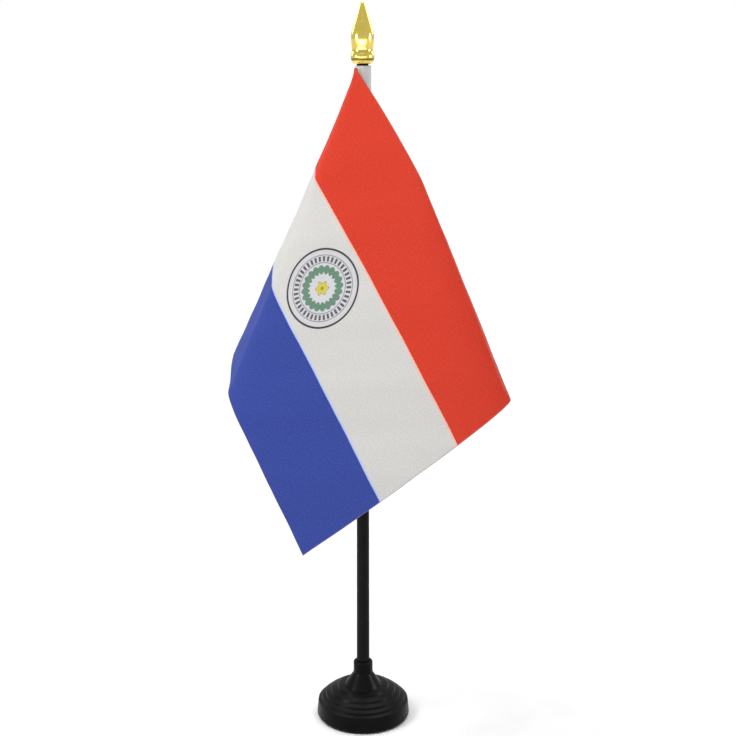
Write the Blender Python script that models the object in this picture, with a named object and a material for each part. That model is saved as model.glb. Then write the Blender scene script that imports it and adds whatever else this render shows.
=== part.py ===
"""Desk flag stand: a weighted stepped base, a tapered pole, a spear finial and a small cloth flag.

Sizes are in metres and +Z is up. The origin is on the table, at the middle of the underside, and
the pole stands on the Z axis. The front is at -Y, where the flag's right side is seen.
"""

import math

import bmesh
import bpy
from mathutils import Vector

# ---- Driving dimensions: base moulding ----
BASE_HEIGHT = 0.0224         # top of the collar
RIM_RADIUS = 0.0179          # widest radius, just above the table
RIM_CHAMFER = 0.0008
RIM_DRAFT = 0.0004           # the rim leans in by this much up to the shoulder
SHOULDER_HEIGHT = 0.0056     # where the low rim turns into the dome
STEP_COUNT = 5               # rings moulded into the dome, all of one height
STEP_RISE = 0.0014
RISER_SHARE = 0.62           # of a step's rise, its steep part
RISER_LEAN = 0.12            # of a step's depth, taken up by the steep part
DOME_TOP_FLARE = 0.0024      # the dome is this much wider than the collar where it ends
FLARE_SPREAD = 0.0035        # the flare's foot is this much wider than the collar
FLARE_WAIST = 0.0025         # the flare's curve leaves its foot towards this spread,
FLARE_THROAT = 0.0010        # and reaches the collar from this one
FLARE_PULL = 0.32            # share of the flare's rise over which it bends at either end
FLARE_SINK = 0.0004          # the flare's foot lies this far below the dome's top
COLLAR_LENGTH = 0.0048       # the straight collar above the flare
COLLAR_WALL = 0.0010         # round the socket
COLLAR_ROUNDING = 0.0008
BASE_LIFT = 0.0004           # the moulding's edge stands this far off the table, on the pad
RIM_WALL = 0.0018
DOME_WALL = 0.0017
BOSS_WALL = 0.0017           # round the socket inside the hollow, and below its floor
SOCKET_FLOOR = 0.0052        # height of the socket's floor

# ---- Driving dimensions: weight and pad ----
WEIGHT_THICKNESS = 0.0034
PAD_THICKNESS = 0.0012

# ---- Driving dimensions: pole ----
POLE_LENGTH = 0.250
POLE_FOOT_RADIUS = 0.0025
POLE_TOP_RADIUS = 0.00205
POLE_ROUNDING = 0.0005

# ---- Driving dimensions: finial ----
FINIAL_HEIGHT = 0.0210
FINIAL_SOCKET_DEPTH = 0.00775
FINIAL_FOOT_WALL = 0.00044   # these walls are measured out from the bore for the pole
FINIAL_RING_WALL = 0.00193
FINIAL_NECK_WALL = 0.0014
FINIAL_BELLY_WALL = 0.00175
FINIAL_POINT_RADIUS = 0.0008
FINIAL_RING_HEIGHT = 0.0024  # these heights are measured up from the finial's foot
FINIAL_NECK_HEIGHT = 0.0047
FINIAL_BELLY_HEIGHT = 0.0086
FINIAL_FOOT_EDGE = 0.00075   # flat of the foot before it curves up into the ring
FINIAL_RING_ROUND = 0.0011   # height over which the ring's edge is rounded, up and down
FINIAL_NECK_ROUND = 0.0010   # height over which the neck is hollowed, up and down
FINIAL_BELLY_ROUND = 0.0018  # height over which the belly swells from the neck
FINIAL_BLADE_SWELL = 0.0032  # height over which the blade stays full above the belly
FINIAL_TIP_LENGTH = 0.0060   # the blade's slender end,
FINIAL_TIP_SPREAD = 0.00175  # and how fast it widens below the point

# ---- Driving dimensions: flag ----
FLAG_FLY = 0.138             # along the stripes, from the sleeve to the loose edge
FLAG_HOIST = 0.100           # along the pole
CLOTH_THICKNESS = 0.0005
SLEEVE_WALL = 0.0002
SLEEVE_SLACK = 0.0002        # how far the loose sleeve hangs to one side of the pole
SLEEVE_ABOVE_FLAG = 0.0007   # the sleeve ends this far above the flag's top corner
SLEEVE_BELOW_FLAG = 0.0008   # and this far below its bottom corner
STUB_LENGTH = 0.0006         # bare pole between the finial's foot and the sleeve
HOIST_BEARING = -117.0       # degrees round the pole from its left side; negative is by its front
FOLD_START = 0.0057          # the folds meet at a point this far above the top corner
STITCH_PITCH = 0.0025
STITCH_WIDTH = 0.0012
THREAD_RADIUS = 0.00015

# ---- Clearances ----
SEAT_GAP = 0.0003            # between pieces that rest on each other
POLE_FIT = 0.0002            # round the pole in its socket and in the finial
SLEEVE_FIT = 0.0002          # round the pole in the sleeve, on its tight side
CLOTH_GAP = 0.0005           # between the sleeve and the cloth's hoist edge

# ---- Fineness of the round pieces and of the cloth ----
ROUND_SIDES = 48
SLIM_SIDES = 32
CURVE_STEPS = 5
CLOTH_COLUMNS = 48
CLOTH_ROWS = 16
COLUMN_CROWDING = 1.35       # above one, the columns stand closer near the hoist

# ---- Heights and radii that follow ----
POLE_FOOT_Z = SOCKET_FLOOR + SEAT_GAP
POLE_TOP_Z = POLE_FOOT_Z + POLE_LENGTH
FINIAL_FOOT_Z = POLE_TOP_Z + SEAT_GAP - FINIAL_SOCKET_DEPTH
SLEEVE_TOP_Z = FINIAL_FOOT_Z - STUB_LENGTH
FLAG_TOP_Z = SLEEVE_TOP_Z - SLEEVE_ABOVE_FLAG
SLEEVE_FOOT_Z = FLAG_TOP_Z - FLAG_HOIST - SLEEVE_BELOW_FLAG


def pole_radius(height):
    """Radius of the tapered pole at a height over the table."""
    share = (height - POLE_FOOT_Z) / POLE_LENGTH
    return POLE_FOOT_RADIUS + (POLE_TOP_RADIUS - POLE_FOOT_RADIUS) * share


SOCKET_RADIUS = POLE_FOOT_RADIUS + POLE_FIT
COLLAR_RADIUS = SOCKET_RADIUS + COLLAR_WALL
FINIAL_BORE_RADIUS = pole_radius(FINIAL_FOOT_Z) + POLE_FIT
FINIAL_RING_RADIUS = FINIAL_BORE_RADIUS + FINIAL_RING_WALL
FINIAL_NECK_RADIUS = FINIAL_BORE_RADIUS + FINIAL_NECK_WALL
FINIAL_BELLY_RADIUS = FINIAL_BORE_RADIUS + FINIAL_BELLY_WALL
SLEEVE_INNER_RADIUS = pole_radius(SLEEVE_FOOT_Z) + SLEEVE_FIT + SLEEVE_SLACK
SLEEVE_OUTER_RADIUS = SLEEVE_INNER_RADIUS + SLEEVE_WALL
BOSS_RADIUS = SOCKET_RADIUS + BOSS_WALL
BOSS_FOOT_Z = SOCKET_FLOOR - BOSS_WALL
CAVITY_RADIUS = RIM_RADIUS - RIM_WALL
PAD_TOP_Z = PAD_THICKNESS
WEIGHT_FOOT_Z = PAD_TOP_Z + SEAT_GAP
WEIGHT_TOP_Z = WEIGHT_FOOT_Z + WEIGHT_THICKNESS
LEDGE_Z = WEIGHT_TOP_Z + SEAT_GAP
SHOULDER_RADIUS = RIM_RADIUS - RIM_DRAFT
DOME_TOP_RADIUS = COLLAR_RADIUS + DOME_TOP_FLARE
DOME_TOP_Z = SHOULDER_HEIGHT + STEP_COUNT * STEP_RISE
FLARE_TOP_Z = BASE_HEIGHT - COLLAR_LENGTH


def clear_scene():
    """Empties the scene, so that the script gives the same result wherever it is run."""
    for found in list(bpy.data.objects):
        bpy.data.objects.remove(found, do_unlink=True)


def finish_material(name, colour, roughness, metallic):
    """A plain Principled finish."""
    material = bpy.data.materials.new(name)
    material.use_nodes = True
    shader = material.node_tree.nodes["Principled BSDF"]
    shader.inputs["Base Color"].default_value = (*colour, 1.0)
    shader.inputs["Roughness"].default_value = roughness
    shader.inputs["Metallic"].default_value = metallic
    return material


def arc(centre, radius, start, end, steps):
    """Points (radius, height) on an arc, from one angle to another in degrees, ends included."""
    points = []
    for step in range(steps + 1):
        angle = math.radians(start + (end - start) * step / steps)
        points.append((centre[0] + radius * math.cos(angle), centre[1] + radius * math.sin(angle)))
    return points


def sweep(start, start_pull, end_pull, end, steps):
    """Points on the smooth curve that leaves start towards start_pull and reaches end from end_pull."""
    points = []
    for step in range(steps + 1):
        t = step / steps
        weights = ((1 - t) ** 3, 3 * (1 - t) ** 2 * t, 3 * (1 - t) * t ** 2, t ** 3)
        corners = (start, start_pull, end_pull, end)
        points.append(tuple(sum(w * c[axis] for w, c in zip(weights, corners)) for axis in (0, 1)))
    return points


def without_repeats(points, closeness=1e-6):
    """The same outline with points that fall on the one before left out."""
    kept = [points[0]]
    for point in points[1:]:
        if math.dist(point, kept[-1]) > closeness:
            kept.append(point)
    return kept


def link_mesh(name, shape, material, smooth_angle=None):
    """Makes a named object of a bmesh, with its faces turned outwards."""
    bmesh.ops.recalc_face_normals(shape, faces=shape.faces)
    mesh = bpy.data.meshes.new(name)
    shape.to_mesh(mesh)
    shape.free()
    mesh.materials.append(material)
    if smooth_angle is not None:
        mesh.shade_smooth()
        mesh.set_sharp_from_angle(angle=math.radians(smooth_angle))
    made = bpy.data.objects.new(name, mesh)
    bpy.context.collection.objects.link(made)
    return made


def turned_piece(name, outline, sides, material, axis_x=0.0):
    """Spins a closed outline of (radius, height) points round the Z axis into one solid."""
    shape = bmesh.new()
    rings = []
    for radius, height in outline:
        if radius < 1e-9:
            rings.append([shape.verts.new((axis_x, 0.0, height))])
            continue
        ring = []
        for side in range(sides):
            angle = 2 * math.pi * side / sides
            place = (axis_x + radius * math.cos(angle), radius * math.sin(angle), height)
            ring.append(shape.verts.new(place))
        rings.append(ring)
    for index, ring in enumerate(rings):
        after = rings[(index + 1) % len(rings)]
        if len(ring) == 1 and len(after) == 1:
            continue
        for side in range(sides):
            corners = [ring[side % len(ring)], ring[(side + 1) % sides % len(ring)],
                       after[(side + 1) % sides % len(after)], after[side % len(after)]]
            corners = list(dict.fromkeys(corners))
            shape.faces.new(corners)
    return link_mesh(name, shape, material, smooth_angle=30)


def dome_radius_at(height):
    """Radius at a height of the ball that runs from the shoulder to the dome's top."""
    narrowing = SHOULDER_RADIUS ** 2 - DOME_TOP_RADIUS ** 2
    rise = DOME_TOP_Z - SHOULDER_HEIGHT
    centre = (SHOULDER_HEIGHT + DOME_TOP_Z) / 2 - narrowing / (2 * rise)
    ball = SHOULDER_RADIUS ** 2 + (SHOULDER_HEIGHT - centre) ** 2
    return math.sqrt(ball - (height - centre) ** 2)


def base_outline():
    """The moulding's section: up the outside, down the socket, and out along the hollow underside."""
    outside = [(RIM_RADIUS - RIM_CHAMFER, BASE_LIFT)]
    outside += [(RIM_RADIUS, BASE_LIFT + RIM_CHAMFER)]
    outside += [(SHOULDER_RADIUS, SHOULDER_HEIGHT)]
    for step in range(STEP_COUNT):
        foot_z = SHOULDER_HEIGHT + step * STEP_RISE
        near = dome_radius_at(foot_z)
        far = dome_radius_at(foot_z + STEP_RISE)
        outside += [(near - RISER_LEAN * (near - far), foot_z + RISER_SHARE * STEP_RISE)]
        if step < STEP_COUNT - 1:
            outside += [(far, foot_z + STEP_RISE)]
    flare_foot_z = DOME_TOP_Z - FLARE_SINK
    bend = FLARE_PULL * (FLARE_TOP_Z - flare_foot_z)
    outside += sweep((COLLAR_RADIUS + FLARE_SPREAD, flare_foot_z),
                     (COLLAR_RADIUS + FLARE_WAIST, flare_foot_z + bend),
                     (COLLAR_RADIUS + FLARE_THROAT, FLARE_TOP_Z - bend),
                     (COLLAR_RADIUS, FLARE_TOP_Z), CURVE_STEPS)
    collar_edge = (COLLAR_RADIUS - COLLAR_ROUNDING, BASE_HEIGHT - COLLAR_ROUNDING)
    outside += arc(collar_edge, COLLAR_ROUNDING, 0, 90, 3)
    socket = [(SOCKET_RADIUS, BASE_HEIGHT), (SOCKET_RADIUS, SOCKET_FLOOR), (0.0, SOCKET_FLOOR)]
    ceiling_z = DOME_TOP_Z - DOME_WALL
    hollow = [(0.0, BOSS_FOOT_Z), (BOSS_RADIUS, BOSS_FOOT_Z), (BOSS_RADIUS, ceiling_z)]
    for step in range(CURVE_STEPS):
        height = ceiling_z + (LEDGE_Z - ceiling_z) * (step + 1) / CURVE_STEPS
        hollow += [(dome_radius_at(height) - DOME_WALL, height)]
    hollow += [(CAVITY_RADIUS, LEDGE_Z), (CAVITY_RADIUS, BASE_LIFT)]
    return without_repeats(outside + socket + hollow)


def make_base_shell():
    black = finish_material("black_base_plastic", (0.012, 0.012, 0.012), 0.38, 0.0)
    return turned_piece("base_shell", base_outline(), ROUND_SIDES, black)


def make_base_weight():
    steel = finish_material("plated_steel", (0.42, 0.42, 0.41), 0.40, 1.0)
    outer = CAVITY_RADIUS - SEAT_GAP
    inner = BOSS_RADIUS + SEAT_GAP
    outline = [(outer, WEIGHT_FOOT_Z), (outer, WEIGHT_TOP_Z), (inner, WEIGHT_TOP_Z), (inner, WEIGHT_FOOT_Z)]
    return turned_piece("base_weight", outline, ROUND_SIDES, steel)


def make_base_pad():
    foam = finish_material("black_foam", (0.02, 0.02, 0.02), 0.9, 0.0)
    radius = CAVITY_RADIUS - SEAT_GAP
    outline = [(0.0, 0.0), (radius, 0.0), (radius, PAD_TOP_Z), (0.0, PAD_TOP_Z)]
    return turned_piece("base_pad", outline, ROUND_SIDES, foam)


def make_pole():
    black = finish_material("black_pole_plastic", (0.015, 0.015, 0.017), 0.42, 0.0)
    foot_edge = (POLE_FOOT_RADIUS - POLE_ROUNDING, POLE_FOOT_Z + POLE_ROUNDING)
    top_edge = (POLE_TOP_RADIUS - POLE_ROUNDING, POLE_TOP_Z - POLE_ROUNDING)
    outline = [(0.0, POLE_FOOT_Z)]
    outline += arc(foot_edge, POLE_ROUNDING, -90, 0, 2)
    outline += arc(top_edge, POLE_ROUNDING, 0, 90, 2)
    outline += [(0.0, POLE_TOP_Z)]
    return turned_piece("pole", outline, SLIM_SIDES, black)


def finial_outline():
    """The spear's section from its foot up to the point, then down the blind bore for the pole."""
    z = FINIAL_FOOT_Z
    foot = (FINIAL_BORE_RADIUS + FINIAL_FOOT_WALL, z)
    ring = (FINIAL_RING_RADIUS, z + FINIAL_RING_HEIGHT)
    neck = (FINIAL_NECK_RADIUS, z + FINIAL_NECK_HEIGHT)
    belly = (FINIAL_BELLY_RADIUS, z + FINIAL_BELLY_HEIGHT)
    point = (FINIAL_POINT_RADIUS, z + FINIAL_HEIGHT - FINIAL_POINT_RADIUS)
    outline = sweep(foot, (foot[0] + FINIAL_FOOT_EDGE, z),
                    (ring[0], ring[1] - FINIAL_RING_ROUND), ring, CURVE_STEPS)
    outline += sweep(ring, (ring[0], ring[1] + FINIAL_RING_ROUND),
                     (neck[0], neck[1] - FINIAL_NECK_ROUND), neck, CURVE_STEPS)
    outline += sweep(neck, (neck[0], neck[1] + FINIAL_NECK_ROUND),
                     (belly[0], belly[1] - FINIAL_BELLY_ROUND), belly, CURVE_STEPS)
    outline += sweep(belly, (belly[0], belly[1] + FINIAL_BLADE_SWELL),
                     (point[0] + FINIAL_TIP_SPREAD, point[1] - FINIAL_TIP_LENGTH),
                     point, 2 * CURVE_STEPS)
    outline += arc((0.0, point[1]), FINIAL_POINT_RADIUS, 0, 90, 3)
    outline[-1] = (0.0, point[1] + FINIAL_POINT_RADIUS)
    outline += [(0.0, z + FINIAL_SOCKET_DEPTH), (FINIAL_BORE_RADIUS, z + FINIAL_SOCKET_DEPTH)]
    outline += [(FINIAL_BORE_RADIUS, z)]
    return without_repeats(outline)


def make_finial():
    gold = finish_material("gold_plating", (0.72, 0.56, 0.14), 0.16, 1.0)
    return turned_piece("finial", finial_outline(), ROUND_SIDES, gold)


def make_hoist_sleeve():
    white = finish_material("white_sleeve_cloth", (0.62, 0.62, 0.60), 0.85, 0.0)
    outline = [(SLEEVE_OUTER_RADIUS, SLEEVE_FOOT_Z), (SLEEVE_OUTER_RADIUS, SLEEVE_TOP_Z),
               (SLEEVE_INNER_RADIUS, SLEEVE_TOP_Z), (SLEEVE_INNER_RADIUS, SLEEVE_FOOT_Z)]
    return turned_piece("hoist_sleeve", outline, SLIM_SIDES, white, axis_x=SLEEVE_SLACK)


# The cloth hangs as a cone of straight rays that all leave one point on the line of the hoist.
# Seen from above, the tips of unit rays draw this path: straight down at the pole, out to the
# left where the cloth rolls over, and back across the front to the loose end on the right.
RAY_LEAVE_PULL = (-0.412, -0.055)
RAY_LEFT = (-0.381, -0.166)
RAY_LEFT_PULL = (-0.077, 0.2995)
RAY_LEFT_RETURN = 0.373
RAY_RIGHT_PULL = (0.345, -0.535)
RAY_RIGHT = (0.326, -0.587)
RAY_SAMPLES = 400


def ray_table():
    """Unit rays of the cone, each with the angle from the hoist at which it lies in the flat cloth."""
    left_in = (RAY_LEFT[0] + RAY_LEFT_PULL[0], RAY_LEFT[1] + RAY_LEFT_PULL[1])
    left_out = (RAY_LEFT[0] - RAY_LEFT_RETURN * RAY_LEFT_PULL[0],
                RAY_LEFT[1] - RAY_LEFT_RETURN * RAY_LEFT_PULL[1])
    path = sweep((0.0, 0.0), RAY_LEAVE_PULL, left_in, RAY_LEFT, RAY_SAMPLES)
    path += sweep(RAY_LEFT, left_out, RAY_RIGHT_PULL, RAY_RIGHT, RAY_SAMPLES)[1:]
    rays = [Vector((x, y, -math.sqrt(1.0 - x * x - y * y))) for x, y in path]
    angles = [0.0]
    for before, after in zip(rays, rays[1:]):
        angles.append(angles[-1] + before.angle(after))
    last_turn = rays[-1].cross(rays[-2]).normalized()
    while angles[-1] < math.pi / 2:
        turn = math.radians(1.0)
        rays.append(rays[-1] * math.cos(turn) - last_turn.cross(rays[-1]) * math.sin(turn))
        angles.append(angles[-1] + turn)
    return rays, angles


def ray_at(table, angle):
    """The cone's ray at an angle from the hoist."""
    rays, angles = table
    low, high = 0, len(angles) - 1
    while high - low > 1:
        middle = (low + high) // 2
        if angles[middle] <= angle:
            low = middle
        else:
            high = middle
    share = (angle - angles[low]) / (angles[high] - angles[low])
    return rays[low].lerp(rays[high], share).normalized()


def hoist_corner():
    """The flag's top corner, just outside the sleeve."""
    bearing = math.radians(HOIST_BEARING)
    reach = SLEEVE_OUTER_RADIUS + CLOTH_GAP + CLOTH_THICKNESS / 2
    return Vector((SLEEVE_SLACK - reach * math.cos(bearing), reach * math.sin(bearing), FLAG_TOP_Z))


def cloth_point(table, along, down):
    """Where a point of the flat cloth hangs: along the stripes from the hoist, down from the top."""
    apex = hoist_corner() + Vector((0.0, 0.0, FOLD_START))
    reach = math.hypot(along, down + FOLD_START)
    return apex + reach * ray_at(table, math.atan2(along, down + FOLD_START))


def column_places():
    """Distances from the hoist of the cloth's columns, closer together near the tight fold."""
    shares = [column / CLOTH_COLUMNS for column in range(CLOTH_COLUMNS + 1)]
    return [FLAG_FLY * share ** COLUMN_CROWDING for share in shares]


def make_flag_cloth():
    polyester = finish_material("printed_polyester", (0.60, 0.10, 0.08), 0.8, 0.0)
    table = ray_table()
    nudge = 0.0002
    front, back = [], []
    shape = bmesh.new()
    for along in column_places():
        front_column, back_column = [], []
        for row in range(CLOTH_ROWS + 1):
            down = FLAG_HOIST * row / CLOTH_ROWS
            here = cloth_point(table, along, down)
            across = cloth_point(table, along + nudge, down) - here
            below = cloth_point(table, along, down + nudge) - here
            facing = below.cross(across).normalized() * (CLOTH_THICKNESS / 2)
            front_column.append(shape.verts.new(here + facing))
            back_column.append(shape.verts.new(here - facing))
        front.append(front_column)
        back.append(back_column)
    for column in range(CLOTH_COLUMNS):
        for row in range(CLOTH_ROWS):
            for side in (front, back):
                shape.faces.new([side[column][row], side[column][row + 1],
                                 side[column + 1][row + 1], side[column + 1][row]])
    for row in range(CLOTH_ROWS):
        for column in (0, CLOTH_COLUMNS):
            shape.faces.new([front[column][row], front[column][row + 1],
                             back[column][row + 1], back[column][row]])
    for column in range(CLOTH_COLUMNS):
        for row in (0, CLOTH_ROWS):
            shape.faces.new([front[column][row], front[column + 1][row],
                             back[column + 1][row], back[column][row]])
    return link_mesh("flag_cloth", shape, polyester, smooth_angle=40)


def make_hoist_stitching():
    """One zigzag thread down the seam that joins the cloth to the sleeve."""
    white = finish_material("white_thread", (0.75, 0.75, 0.73), 0.7, 0.0)
    bearing = math.radians(HOIST_BEARING)
    outward = Vector((-math.cos(bearing), math.sin(bearing), 0.0))
    sideways = Vector((math.sin(bearing), math.cos(bearing), 0.0))
    reach = SLEEVE_OUTER_RADIUS + SEAT_GAP + THREAD_RADIUS
    middle = Vector((SLEEVE_SLACK, 0.0, 0.0)) + outward * reach
    count = int((FLAG_HOIST - 2 * STITCH_PITCH) / STITCH_PITCH)
    curve = bpy.data.curves.new("hoist_stitching", "CURVE")
    curve.dimensions = "3D"
    curve.bevel_depth = THREAD_RADIUS
    curve.bevel_resolution = 1
    curve.use_fill_caps = True
    thread = curve.splines.new("POLY")
    thread.points.add(count)
    offset = CLOTH_THICKNESS / 2 + SEAT_GAP + 2 * THREAD_RADIUS
    for index, point in enumerate(thread.points):
        swing = offset + (STITCH_WIDTH if index % 2 else 0.0)
        height = FLAG_TOP_Z - STITCH_PITCH * (index + 1)
        place = middle - sideways * swing
        point.co = (place.x, place.y, height, 1.0)
    curve.materials.append(white)
    made = bpy.data.objects.new("hoist_stitching", curve)
    bpy.context.collection.objects.link(made)
    return made


def build():
    clear_scene()
    make_base_shell()
    make_base_weight()
    make_base_pad()
    make_pole()
    make_finial()
    make_hoist_sleeve()
    make_flag_cloth()
    make_hoist_stitching()


build()
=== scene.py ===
# %% [markdown]
# # A desk flag stand
# A small table flag: a black moulded base with rings in its dome, a slim black pole that tapers
# towards the top, a gold spear on its end, and a flag of thin printed polyester that hangs from a
# white sleeve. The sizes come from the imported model, which is loaded first and never changed. Each
# of its plain solids is then stood for by a finer piece made here, in the same place.

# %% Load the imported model
import math

import bpy
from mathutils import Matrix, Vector


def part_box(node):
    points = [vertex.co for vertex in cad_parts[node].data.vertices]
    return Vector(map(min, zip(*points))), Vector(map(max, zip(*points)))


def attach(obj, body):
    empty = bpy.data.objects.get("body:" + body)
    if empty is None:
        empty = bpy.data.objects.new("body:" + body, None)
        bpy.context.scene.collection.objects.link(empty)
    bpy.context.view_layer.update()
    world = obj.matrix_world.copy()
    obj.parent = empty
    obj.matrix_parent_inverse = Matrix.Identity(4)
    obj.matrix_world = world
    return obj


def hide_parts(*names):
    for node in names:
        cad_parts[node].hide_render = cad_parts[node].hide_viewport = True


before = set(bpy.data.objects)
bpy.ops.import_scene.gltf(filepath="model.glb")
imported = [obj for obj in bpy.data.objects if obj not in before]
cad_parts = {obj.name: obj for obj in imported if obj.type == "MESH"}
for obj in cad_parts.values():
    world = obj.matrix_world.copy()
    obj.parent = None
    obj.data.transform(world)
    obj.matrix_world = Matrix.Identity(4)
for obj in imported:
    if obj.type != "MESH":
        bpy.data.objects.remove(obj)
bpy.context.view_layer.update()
MM = 0.001
print("nodes:", sorted(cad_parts))

# %% [markdown]
# ## The camera
# A product like this is seen from the front and a little above, from about half a metre away with a
# long lens. The camera is made first, because every later choice is judged through it. It looks
# straight along +Y, tipped down by a small angle, and needs no shift.

# %% Place the camera
CAMERA_PLACE = (0.0019, -0.4760, 0.25486)
CAMERA_TIP = 13.68
CAMERA_LENS = 65.16

bpy.ops.object.camera_add(location=CAMERA_PLACE, rotation=(math.radians(90 - CAMERA_TIP), 0, 0))
camera = bpy.context.object
camera.name = "camera"
camera.data.lens = CAMERA_LENS
camera.data.sensor_width = 36
camera.data.clip_start = 0.01
bpy.context.scene.camera = camera
bpy.context.scene.view_settings.view_transform = "Standard"
print("camera at", tuple(camera.location))

# %% [markdown]
# ## Small tools
# Operators act on whatever is selected, so everything is deselected before a new piece is begun. Most
# of this object is round: a lathe would cut it. The same shape is made here by drawing a disc up its
# axis ring by ring, extruding the last ring and scaling it to the next radius, which is how a turned
# shape is built by hand in edit mode.

# %% Tools for round pieces
def deselect_all():
    """Nothing is selected, so that the next operator acts only on its own piece."""
    bpy.ops.object.select_all(action="DESELECT")


def drawn_up(name, outline, sides, axis_x=0.0, tube=False):
    """A round piece grown ring by ring along (radius, height) points; a tube ends where it began."""
    deselect_all()
    radius, height = outline[0]
    fill = "NOTHING" if tube else "NGON"
    bpy.ops.mesh.primitive_circle_add(vertices=sides, radius=radius, fill_type=fill,
                                      location=(axis_x, 0, height))
    piece = bpy.context.object
    piece.name = name
    piece.data.name = name
    bpy.ops.object.transform_apply(location=True, rotation=True, scale=True)
    bpy.ops.object.mode_set(mode="EDIT")
    bpy.ops.mesh.select_all(action="SELECT")
    for next_radius, next_height in outline[1:]:
        rise = (0, 0, next_height - height)
        bpy.ops.mesh.extrude_region_move(TRANSFORM_OT_translate={"value": rise})
        stretch = next_radius / radius
        bpy.ops.transform.resize(value=(stretch, stretch, 1), center_override=(axis_x, 0, next_height))
        radius, height = next_radius, next_height
    bpy.ops.mesh.select_all(action="SELECT")
    bpy.ops.mesh.remove_doubles(threshold=0.001 * MM)
    bpy.ops.mesh.normals_make_consistent(inside=False)
    bpy.ops.object.mode_set(mode="OBJECT")
    return piece


def soften_edges(piece, width, segments=3, sharper_than=24):
    """Rounds the piece's sharp rings with a bevel, then shades it smooth."""
    deselect_all()
    piece.select_set(True)
    bpy.context.view_layer.objects.active = piece
    bevel = piece.modifiers.new("edges", "BEVEL")
    bevel.width = width
    bevel.segments = segments
    bevel.limit_method = "ANGLE"
    bevel.angle_limit = math.radians(sharper_than)
    bpy.ops.object.modifier_apply(modifier=bevel.name)
    bpy.ops.object.shade_smooth_by_angle(angle=math.radians(40))
    return piece


def bend(start, start_pull, end_pull, end, steps):
    """Points on the smooth curve that leaves start towards start_pull and reaches end from end_pull."""
    points = []
    for step in range(steps + 1):
        t = step / steps
        shares = ((1 - t) ** 3, 3 * (1 - t) ** 2 * t, 3 * (1 - t) * t ** 2, t ** 3)
        corners = (start, start_pull, end_pull, end)
        points.append(tuple(sum(s * c[axis] for s, c in zip(shares, corners)) for axis in (0, 1)))
    return points


def quarter_round(centre, radius, start, end, steps):
    """Points on an arc about centre, from one angle to another in degrees."""
    angles = [math.radians(start + (end - start) * step / steps) for step in range(steps + 1)]
    return [(centre[0] + radius * math.cos(a), centre[1] + radius * math.sin(a)) for a in angles]


def report(piece):
    """Prints a finished piece's size in millimetres and its count of faces."""
    size = ", ".join(f"{length / MM:.1f}" for length in piece.dimensions)
    print(f"{piece.name}: {size} mm, {len(piece.data.polygons)} faces")


# %% [markdown]
# ## Tools for finishes
# Every finish is a small tree of nodes that ends in one Principled shader. These helpers only save
# typing: one adds a node, one does a sum, one mixes a colour in where a mask is white, and one turns
# a height into a bump.

# %% Tools for node trees
def new_finish(name):
    """A material, its node tree and its Principled shader."""
    material = bpy.data.materials.new(name)
    material.use_nodes = True
    return material, material.node_tree, material.node_tree.nodes["Principled BSDF"]


def feed(tree, socket, value):
    """Links an output into a socket, or sets the socket if the value is a number or a colour."""
    if isinstance(value, bpy.types.NodeSocket):
        tree.links.new(value, socket)
    else:
        socket.default_value = value


def sum_of(tree, operation, *values):
    """One Math node."""
    node = tree.nodes.new("ShaderNodeMath")
    node.operation = operation
    for socket, value in zip(node.inputs, values):
        feed(tree, socket, value)
    return node.outputs[0]


def both(tree, a, b):
    """The product of two values."""
    return sum_of(tree, "MULTIPLY", a, b)


def ramp(tree, value, low, high, to_low=0.0, to_high=1.0):
    """Turns a value between low and high smoothly into one between to_low and to_high."""
    node = tree.nodes.new("ShaderNodeMapRange")
    node.interpolation_type = "SMOOTHSTEP"
    for name, number in (("From Min", low), ("From Max", high), ("To Min", to_low), ("To Max", to_high)):
        node.inputs[name].default_value = number
    feed(tree, node.inputs["Value"], value)
    return node.outputs["Result"]


def paint(tree, under, colour, mask, blend="MIX"):
    """The under colour with another laid over it where the mask is one."""
    node = tree.nodes.new("ShaderNodeMix")
    node.data_type = "RGBA"
    node.blend_type = blend
    feed(tree, node.inputs[0], mask)
    feed(tree, node.inputs[6], under)
    feed(tree, node.inputs[7], colour)
    return node.outputs[2]


def noise(tree, vector, scale, detail=3.0, roughness=0.5):
    """A Noise texture's value."""
    node = tree.nodes.new("ShaderNodeTexNoise")
    node.inputs["Scale"].default_value = scale
    node.inputs["Detail"].default_value = detail
    node.inputs["Roughness"].default_value = roughness
    feed(tree, node.inputs["Vector"], vector)
    return node.outputs["Fac"]


def bumped(tree, shader, height, distance, strength=1.0):
    """Lets a height in the range nought to one raise the shader's surface by a distance."""
    node = tree.nodes.new("ShaderNodeBump")
    node.inputs["Strength"].default_value = strength
    node.inputs["Distance"].default_value = distance
    feed(tree, node.inputs["Height"], height)
    tree.links.new(node.outputs["Normal"], shader.inputs["Normal"])


def object_place(tree):
    """The Object coordinates, in metres."""
    return tree.nodes.new("ShaderNodeTexCoord").outputs["Object"]


def stretched(tree, vector, scale):
    """The same coordinates with each axis scaled by its own number."""
    node = tree.nodes.new("ShaderNodeMapping")
    node.inputs["Scale"].default_value = scale
    feed(tree, node.inputs["Vector"], vector)
    return node.outputs["Vector"]


def parts_of(tree, vector):
    """The three numbers of a vector."""
    node = tree.nodes.new("ShaderNodeSeparateXYZ")
    feed(tree, node.inputs[0], vector)
    return node.outputs


def grey(level):
    return (level, level, level, 1.0)


def cover(piece, material):
    """Gives a piece its one material."""
    piece.data.materials.clear()
    piece.data.materials.append(material)


# %% [markdown]
# ## The black base
# The base is one injection moulding in black plastic: a low rim that leans in a little, a shallow
# dome with five rings stepped into it, a flare, and a collar with a blind socket for the pole. Below
# it is hollow, so that the walls are thin and cool evenly, with a boss round the socket. It could be
# spun from a flat outline. It is drawn up ring by ring here, from the socket's floor over the collar
# and the dome to the rim, and back inside to the boss, so that it is one closed skin.

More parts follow.
